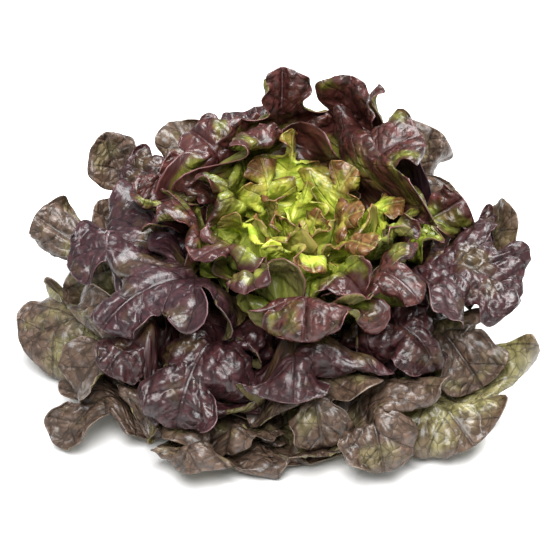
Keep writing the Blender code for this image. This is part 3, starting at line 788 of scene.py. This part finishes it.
def leaf_patterns(tree):
    """The patterns of a leaf by name, each an output to link from."""
    place = add(tree, "Attribute", output="Vector", attribute_name="leaf_mm")
    marks = add(tree, "Attribute", output="Vector", attribute_name="leaf_marks")
    found = {"from_middle": add(tree, "SeparateXYZ", [place])}
    # The second mark says where the painted highlight along the margin goes
    for output, name in enumerate(("red", "rim_highlight", "veins")):
        found[name] = add(tree, "SeparateXYZ", [marks], output=output)
    for name, (size, detail) in NOISES.items():
        found[name] = add(tree, "TexNoise", {"Vector": place, "Scale": 1 / size, "Detail": detail})
    shift = add(tree, "TexNoise", {"Vector": place, "Scale": 1 / CUSHION}, output="Color")
    shift = add(tree, "VectorMath", {0: shift, "Scale": CUSHION_WARP}, operation="SCALE")
    bent = add(tree, "VectorMath", [place, shift], operation="ADD")
    edge = add(tree, "TexVoronoi", {"Vector": bent, "Scale": 1 / CUSHION}, feature="DISTANCE_TO_EDGE")
    found["cushion"] = add(tree, "MapRange", [edge, 0.0, 0.35], **SOFT)
    found["net"] = add(tree, "MapRange", [edge, 0.01, 0.06, 1.0, 0.0], **SOFT)
    number = add(tree, "SeparateXYZ", [place], output=2)
    number = add(tree, "Math", [number, LEAF_STEP], operation="DIVIDE")
    number = add(tree, "Math", [number], operation="ROUND")
    found["tone"] = add(tree, "TexWhiteNoise", {"W": number}, output="Value", noise_dimensions="1D")
    return found


# %% [markdown]
# The larger veins are lines along the midrib and the side veins. The finest ones already came with
# the cushions: they are the net of lines between them.

# %% Larger veins
SIDE_VEIN = (0.2, 0.8)      # half widths of a side vein's line, where it is full and where it ends
MIDDLE_VEIN = (0.4, 1.4)    # and of the midrib's


def vein_lines(tree, found):
    """Thin lines along the midrib and the side veins: 1 on a vein."""
    nearest = add(tree, "Math", [found["veins"]], operation="FRACT")
    nearest = add(tree, "Math", [nearest, 0.5], operation="SUBTRACT")
    nearest = add(tree, "Math", [nearest], operation="ABSOLUTE")
    full, end = (half / VEIN_SPACING for half in SIDE_VEIN)
    side_vein = add(tree, "MapRange", [nearest, full, end, 1, 0], **SOFT)
    from_middle = add(tree, "Math", [found["from_middle"]], operation="ABSOLUTE")
    middle_vein = add(tree, "MapRange", [from_middle, *MIDDLE_VEIN, 1, 0], **SOFT)
    return add(tree, "Math", [side_vein, middle_vein], operation="MAXIMUM")


# %% [markdown]
# The red is a pigment of the upper skin. It grows where there was most light: on the outer leaves,
# and at the tips and edges of the inner ones, while the heart stays lime green. Under it the leaf is
# green, and the oldest leaves have faded to olive. So the colours are laid on like coats of paint:
# red over green, then the vein net, the larger veins, and a pale rim that is a painted highlight where
# the margin catches the light. Each leaf leans to a tone of its own by a random number, because no
# two plants' leaves are of one colour.

# %% Colours of a leaf
# green and red in shade and in light, the tone that some leaves lean to, vein, and the rim's painted
# highlight, then how clear the vein net and the larger veins are, how much light shines through, and
# the roughness of the skin
FINISHES = {
    "heart": dict(green=("#9ab42c", "#eaf062"), red=("#5a3020", "#844e32"), tone="#6c3a2a",
                  vein="#ccd272", rim_highlight="#a8784c", net=0.1, lines=0.2, glow=0.30, rough=0.30),
    "inner": dict(green=("#6a7826", "#a4b040"), red=("#2a0c12", "#5a202c"), tone="#4a1c2a",
                  vein="#482428", rim_highlight="#945f60", net=0.25, lines=0.4, glow=0.24, rough=0.28),
    "middle": dict(green=("#463a20", "#685a34"), red=("#240f12", "#4a2428"), tone="#3a2a3c",
                   vein="#281214", rim_highlight="#866064", net=0.4, lines=0.45, glow=0.22, rough=0.30),
    "outer": dict(green=("#666038", "#a29a6a"), red=("#42322a", "#72594c"), tone="#5e4a38",
                  vein="#30261e", rim_highlight="#907e6e", net=0.6, lines=0.5, glow=0.26, rough=0.33),
}
UNDERSIDE = "#8e8c58"       # the underside is paler and greener
FULL_RED = 0.96             # the most that red covers the green, above
FULL_RED_BELOW = 0.7        # and below


def leaf_skin(tree, finish, under, found):
    """The colour of a leaf's skin, laid on coat by coat."""
    lit = add(tree, "MapRange", [found["mottle"], 0.3, 0.7], **SOFT)
    green, red = (add(tree, "Mix", {0: lit, 6: colour(finish[name][0]), 7: colour(finish[name][1])}, **MIX)
                  for name in ("green", "red"))
    lean = add(tree, "MapRange", [found["tone"], 0.4, 1.0, 0, 0.6], **SOFT)
    red = add(tree, "Mix", {0: lean, 6: red, 7: colour(finish["tone"])}, **MIX)
    blush = add(tree, "Math", [found["blotch"], 0.6, found["red"]], operation="MULTIPLY_ADD")
    drift = add(tree, "MapRange", [found["drift"], 0.36, 0.56, -0.26, 0.1], **SOFT)
    blush = add(tree, "Math", [blush, drift], operation="ADD")
    blush = add(tree, "MapRange", [blush, 0.3, 0.95, 0, FULL_RED_BELOW if under else FULL_RED], **SOFT)
    net = add(tree, "Math", [found["net"], finish["net"]], operation="MULTIPLY")
    lines = add(tree, "Math", [found["lines"], finish["lines"]], operation="MULTIPLY")
    # A painted highlight along the margin, where the edge catches the light, laid on only in patches
    rim_highlight = add(tree, "MapRange", [found["rim_highlight"], 0.5, 0.95, 0, 0.8], **SOFT)
    patches = add(tree, "MapRange", [found["blotch"], 0.35, 0.65], **SOFT)
    rim_highlight = add(tree, "Math", [rim_highlight, patches], operation="MULTIPLY")
    vein = colour(finish["vein"])
    coats = [(blush, red), (net, vein), (lines, vein), (rim_highlight, colour(finish["rim_highlight"]))]
    if under:
        coats.append((0.3, colour(UNDERSIDE)))
    skin = green
    for share, paint in coats:
        skin = add(tree, "Mix", {0: share, 6: skin, 7: paint}, **MIX)
    return skin


print("light that shines through:", {ring: finish["glow"] for ring, finish in FINISHES.items()})


# %% [markdown]
# The bump is only for what is finer than the sheets' points: the cushions between the smallest veins,
# the grain of the skin, and the narrow furrow along each vein. The cushions break the gloss up into
# many small lights, which is what makes a savoyed leaf look crisp.

# %% Leaf materials
RELIEF = 0.0010             # height of a cushion, in metres


def leaf_material(ring, under):
    """Living leaf tissue, waxed by growth: deep colour under a soft gloss above, dull and paler below."""
    made, tree = new_material(f"{ring} leaf, " + ("underside" if under else "upper side"))
    finish = FINISHES[ring]
    found = leaf_patterns(tree)
    found["lines"] = vein_lines(tree, found)
    skin = leaf_skin(tree, finish, under, found)
    puffed = add(tree, "MapRange", [found["tone"], 0, 1, 1.0, 0.4], **SOFT)
    relief = add(tree, "Math", [found["cushion"], puffed], operation="MULTIPLY")
    relief = add(tree, "Math", [found["grain"], 0.15, relief], operation="MULTIPLY_ADD")
    relief = add(tree, "Math", [found["lines"], -0.6, relief], operation="MULTIPLY_ADD")
    bump = add(tree, "Bump", {"Height": relief, "Strength": 0.9, "Distance": RELIEF})
    dull = finish["rough"] + 0.1 + (0.12 if under else 0)
    gloss = add(tree, "MapRange", [found["blotch"], 0.3, 0.7, finish["rough"], dull], **SOFT)
    body = add(tree, "BsdfPrincipled", {
        "Base Color": skin, "Roughness": gloss, "Normal": bump, "Specular IOR Level": 0.35,
        "Coat Weight": 0.0 if under else 0.6, "Coat Roughness": 0.23})
    glow = add(tree, "BsdfTranslucent", {"Color": skin, "Normal": bump})
    tissue = add(tree, "MixShader", [finish["glow"], body, glow])
    add(tree, "OutputMaterial", {"Surface": tissue})
    return made


tissues = {ring: [leaf_material(ring, under) for under in (True, False)] for ring in FINISHES}
print("leaf materials:", [m.name for pair in tissues.values() for m in pair])

# %% [markdown]
# ## From points to leaves
# The marks are worked out first. Red spreads from the tip and the margin, and further down on outer
# leaves. A few leaves grew in the shade of others and stayed greener.

# %% Marks of a leaf
BLUSH_FROM = {"heart": 0.76, "inner": 0.50, "middle": 0.25, "outer": 0.12}   # where red begins
# Leaves that grew in more shade, and how much later red begins on them
SHADED = {"inner_leaf_01": 0.2, "inner_leaf_02": 0.15, "inner_leaf_03": 0.35, "inner_leaf_04": 0.2,
          "inner_leaf_06": 0.3, "inner_leaf_14": 0.15, "outer_leaf_01": 0.4, "outer_leaf_03": 0.3,
          "outer_leaf_04": 0.5, "outer_leaf_07": 0.6, "outer_leaf_12": 0.3, "outer_leaf_14": 0.8,
          "outer_leaf_15": 0.8, "outer_leaf_17": 0.7}
RIM_HIGHLIGHT_WIDTH = 1.8             # width of the painted highlight along the margin
RED_MARGIN = 7              # width of the redder margin


def marks_of(leaf, sheet):
    """How red and how near the margin each point is, and its count of vein spacings."""
    own = np.random.default_rng(leaf["seed"] + 7).uniform(-0.18, 0.12) + SHADED.get(leaf["name"], 0)
    along = sheet["y"] / sheet["y"].max()
    red = smooth(BLUSH_FROM[leaf["ring"]] + own - 0.22, BLUSH_FROM[leaf["ring"]] + own + 0.25, along)
    red = red + 0.35 * (1 - smooth(1, RED_MARGIN, sheet["from_edge"])) * smooth(0.3, 0.6, along)
    # Painted highlight mask: 1 on the margin, fading out over the highlight's width
    rim_highlight = 1 - smooth(0.0, RIM_HIGHLIGHT_WIDTH, sheet["from_edge"])
    return np.stack([red * 0.65, rim_highlight, sheet["veins"]], -1)


print("greener leaves:", len(SHADED), "of", LEAF_COUNT)


# %% [markdown]
# Blender's grid primitive already has the rows and columns of a leaf, so a leaf starts as one, and
# each of its points is put in its place. Building the mesh from nothing would need the same points
# and a list of faces as well.

# %% Sheet of a leaf
def sheet_of_points(name, grid):
    """A grid primitive with its points put in the places of a leaf's points."""
    rows, columns, _ = grid.shape
    bpy.ops.object.select_all(action="DESELECT")
    bpy.ops.mesh.primitive_grid_add(x_subdivisions=columns - 1, y_subdivisions=rows - 1, size=1)
    piece = bpy.context.object
    piece.name = name
    piece.data.name = name
    piece.data.vertices.foreach_set("co", ((grid - MOVED) / 1000).ravel())
    return piece


# %% [markdown]
# A real leaf is thin, but it has an edge that catches the light, and its midrib is a thick rib. The
# Solidify modifier gives both at once, with a vertex group that says where the leaf is thick. It also
# puts the upper side's finish on one side and on the rim, and the underside's on the other.

# %% Thickness of a leaf
SHEET = 0.5                 # thickness of a leaf
RIB = 2.2                   # thickness of the midrib at its base
RIB_HALF_WIDTH = 4.5        # from the midrib's middle to where the rib has thinned out


def thicken(piece, x, y):
    """Gives a sheet its thickness, thickest along the midrib and towards the base."""
    rib = piece.vertex_groups.new(name="midrib")
    weights = np.clip(1 - abs(x) / RIB_HALF_WIDTH, 0, 1) * (1 - y / y.max())
    for k in np.flatnonzero(weights > 0.02):
        rib.add([int(k)], float(weights.flat[k]), "REPLACE")
    solid = piece.modifiers.new("Thickness", "SOLIDIFY")
    solid.thickness = RIB / 1000
    solid.offset = 0
    solid.vertex_group = rib.name
    solid.thickness_vertex_group = SHEET / RIB
    solid.material_offset = 1
    solid.material_offset_rim = 1
    bpy.ops.object.modifier_apply(modifier=solid.name)
    bpy.ops.object.shade_smooth()


# %% Make the leaves
def make_leaf(number, leaf, grid, sheet):
    """One finished leaf in the place of its plain solid."""
    piece = sheet_of_points(leaf["name"].replace("leaf", "blade"), grid)
    x, y = sheet["x"], sheet["y"]
    places = np.stack([x, y, np.full(x.shape, LEAF_STEP * number)], -1)
    for name, values in (("leaf_mm", places), ("leaf_marks", marks_of(leaf, sheet))):
        marks = piece.data.attributes.new(name, "FLOAT_VECTOR", "POINT")
        marks.data.foreach_set("vector", values.ravel())
    for finish in tissues[leaf["ring"]]:
        piece.data.materials.append(finish)
    thicken(piece, x, y)
    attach(piece, "root")
    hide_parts(leaf["name"])
    return piece


leaves = [make_leaf(number, leaf, grid, sheet)
          for number, (leaf, grid, sheet) in enumerate(zip(rows_of_head, grids, sheets))]
print("leaves:", len(leaves), "faces:", sum(len(leaf.data.polygons) for leaf in leaves))

# %% [markdown]
# ## The cut stem
# The stem keeps its shape from the frame, so it only needs a finish. Its flesh is cream coloured with
# faint streaks, and where it was cut the milky sap has dried to a rusty brown that fades upwards.

# %% Finish of the stem
STREAK = 0.004              # metres between the streaks of the flesh
CUT_RISE = (0.0002, 0.003)  # metres above the cut where the brown starts to fade and where it ends


def stem_material():
    """Cut stem flesh: pale, moist and matt, with dried sap at the cut."""
    made, tree = new_material("lettuce stem")
    place = add(tree, "TexCoord", output="Object")
    streaks = add(tree, "TexNoise", {"Vector": place, "Scale": 1 / STREAK, "Detail": 4})
    height = add(tree, "SeparateXYZ", [place], output=2)
    flesh = add(tree, "Mix", {0: streaks, 6: colour("#c9c48a"), 7: colour("#e6e4bf")}, **MIX)
    cut = add(tree, "MapRange", [height, *CUT_RISE, 0.75, 0], **SOFT)
    skin = add(tree, "Mix", {0: cut, 6: flesh, 7: colour("#9c6a3c")}, **MIX)
    bump = add(tree, "Bump", {"Height": streaks, "Strength": 0.4, "Distance": 0.0004})
    body = add(tree, "BsdfPrincipled", {"Base Color": skin, "Roughness": 0.5, "Normal": bump})
    add(tree, "OutputMaterial", {"Surface": body})
    return made


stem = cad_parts["core_stem"]
stem.data.materials.clear()
stem.data.materials.append(stem_material())
print("stem finish:", stem.data.materials[0].name)

# %% [markdown]
# ## Stage
# The head lies on a white table, as in a picture for a shop. A flat white would do from afar, but a
# faint cloudiness keeps the table from looking like paper cut out.

# %% Floor
CLOUD = 1 / 3               # metres across a cloud of the table's white


def white_table():
    """Painted board, rolled: an even matt white that mirrors nothing."""
    made, tree = new_material("white table")
    place = add(tree, "TexCoord", output="Object")
    cloud = add(tree, "TexNoise", {"Vector": place, "Scale": 1 / CLOUD})
    white = add(tree, "Mix", {0: cloud, 6: colour("#f4f4f4"), 7: colour("#f8f8f8")}, **MIX)
    body = add(tree, "BsdfPrincipled", {"Base Color": white, "Roughness": 0.7})
    add(tree, "OutputMaterial", {"Surface": body})
    return made


bpy.ops.object.select_all(action="DESELECT")
bpy.ops.mesh.primitive_plane_add(size=8)
floor = bpy.context.object
floor.name = "table_top"
floor.data.materials.append(white_table())
print("floor:", floor.name)

# %% [markdown]
# Two round soft lights stand for a studio: a larger one behind the head to the right, whose gloss
# draws the blisters, and a weaker one in front, so that the near leaves aren't lost in shade. The
# white world lights what neither of them reaches.

# %% Lights
WORLD = 0.49                # strength of the white world


def make_light(name, place, size, power, aim=(0, 0, 0.05)):
    """A round area light, in metres and watts, that faces the aim."""
    light = bpy.data.lights.new(name, "AREA")
    light.shape = "DISK"
    light.size = size
    light.energy = power
    made = bpy.data.objects.new(name, light)
    bpy.context.scene.collection.objects.link(made)
    made.location = place
    made.rotation_euler = (Vector(aim) - Vector(place)).to_track_quat("-Z", "Y").to_euler()


make_light("window", (0.4, 0.35, 1.1), 0.75, 24)
make_light("fill", (-0.1, -0.6, 1.0), 0.65, 16)
world = bpy.data.worlds.new("studio")
bpy.context.scene.world = world
world.use_nodes = True
surroundings = world.node_tree.nodes["Background"]
surroundings.inputs[0].default_value = colour("#ffffff")
surroundings.inputs[1].default_value = WORLD
bpy.context.scene.view_settings.view_transform = "Standard"
print("lights:", [light.name for light in bpy.data.lights])

# %% [markdown]
# The camera stands a metre away and looks down by 36 degrees, with a long lens, so that the head
# fills the picture. The layout's origin shows a little below the middle of the picture.

# %% Camera
CAMERA_DOWN = radians(36)
DISTANCE = 1000.0           # from the camera to the head, in mm
PICTURE = 540               # the picture's width in pixels
PIXEL = 0.57                # millimetres that a pixel takes in at that distance
ORIGIN_RIGHT, ORIGIN_DOWN = 5, 70       # where the layout's origin shows, in pixels from the middle

forward = np.array([0, cos(CAMERA_DOWN), -sin(CAMERA_DOWN)])
upward = np.array([0, sin(CAMERA_DOWN), cos(CAMERA_DOWN)])
aside = PIXEL * ORIGIN_RIGHT * np.array([1, 0, 0])
above = PIXEL * ORIGIN_DOWN * upward
eye = bpy.data.cameras.new("camera")
eye.sensor_width = 36
eye.lens = eye.sensor_width * DISTANCE / (PIXEL * PICTURE)
camera = bpy.data.objects.new("camera", eye)
bpy.context.scene.collection.objects.link(camera)
camera.location = (-(DISTANCE * forward + aside - above) - MOVED) / 1000
camera.rotation_euler = (radians(90) - CAMERA_DOWN, 0, 0)
bpy.context.scene.camera = camera
print("lens", round(eye.lens, 1), "mm")
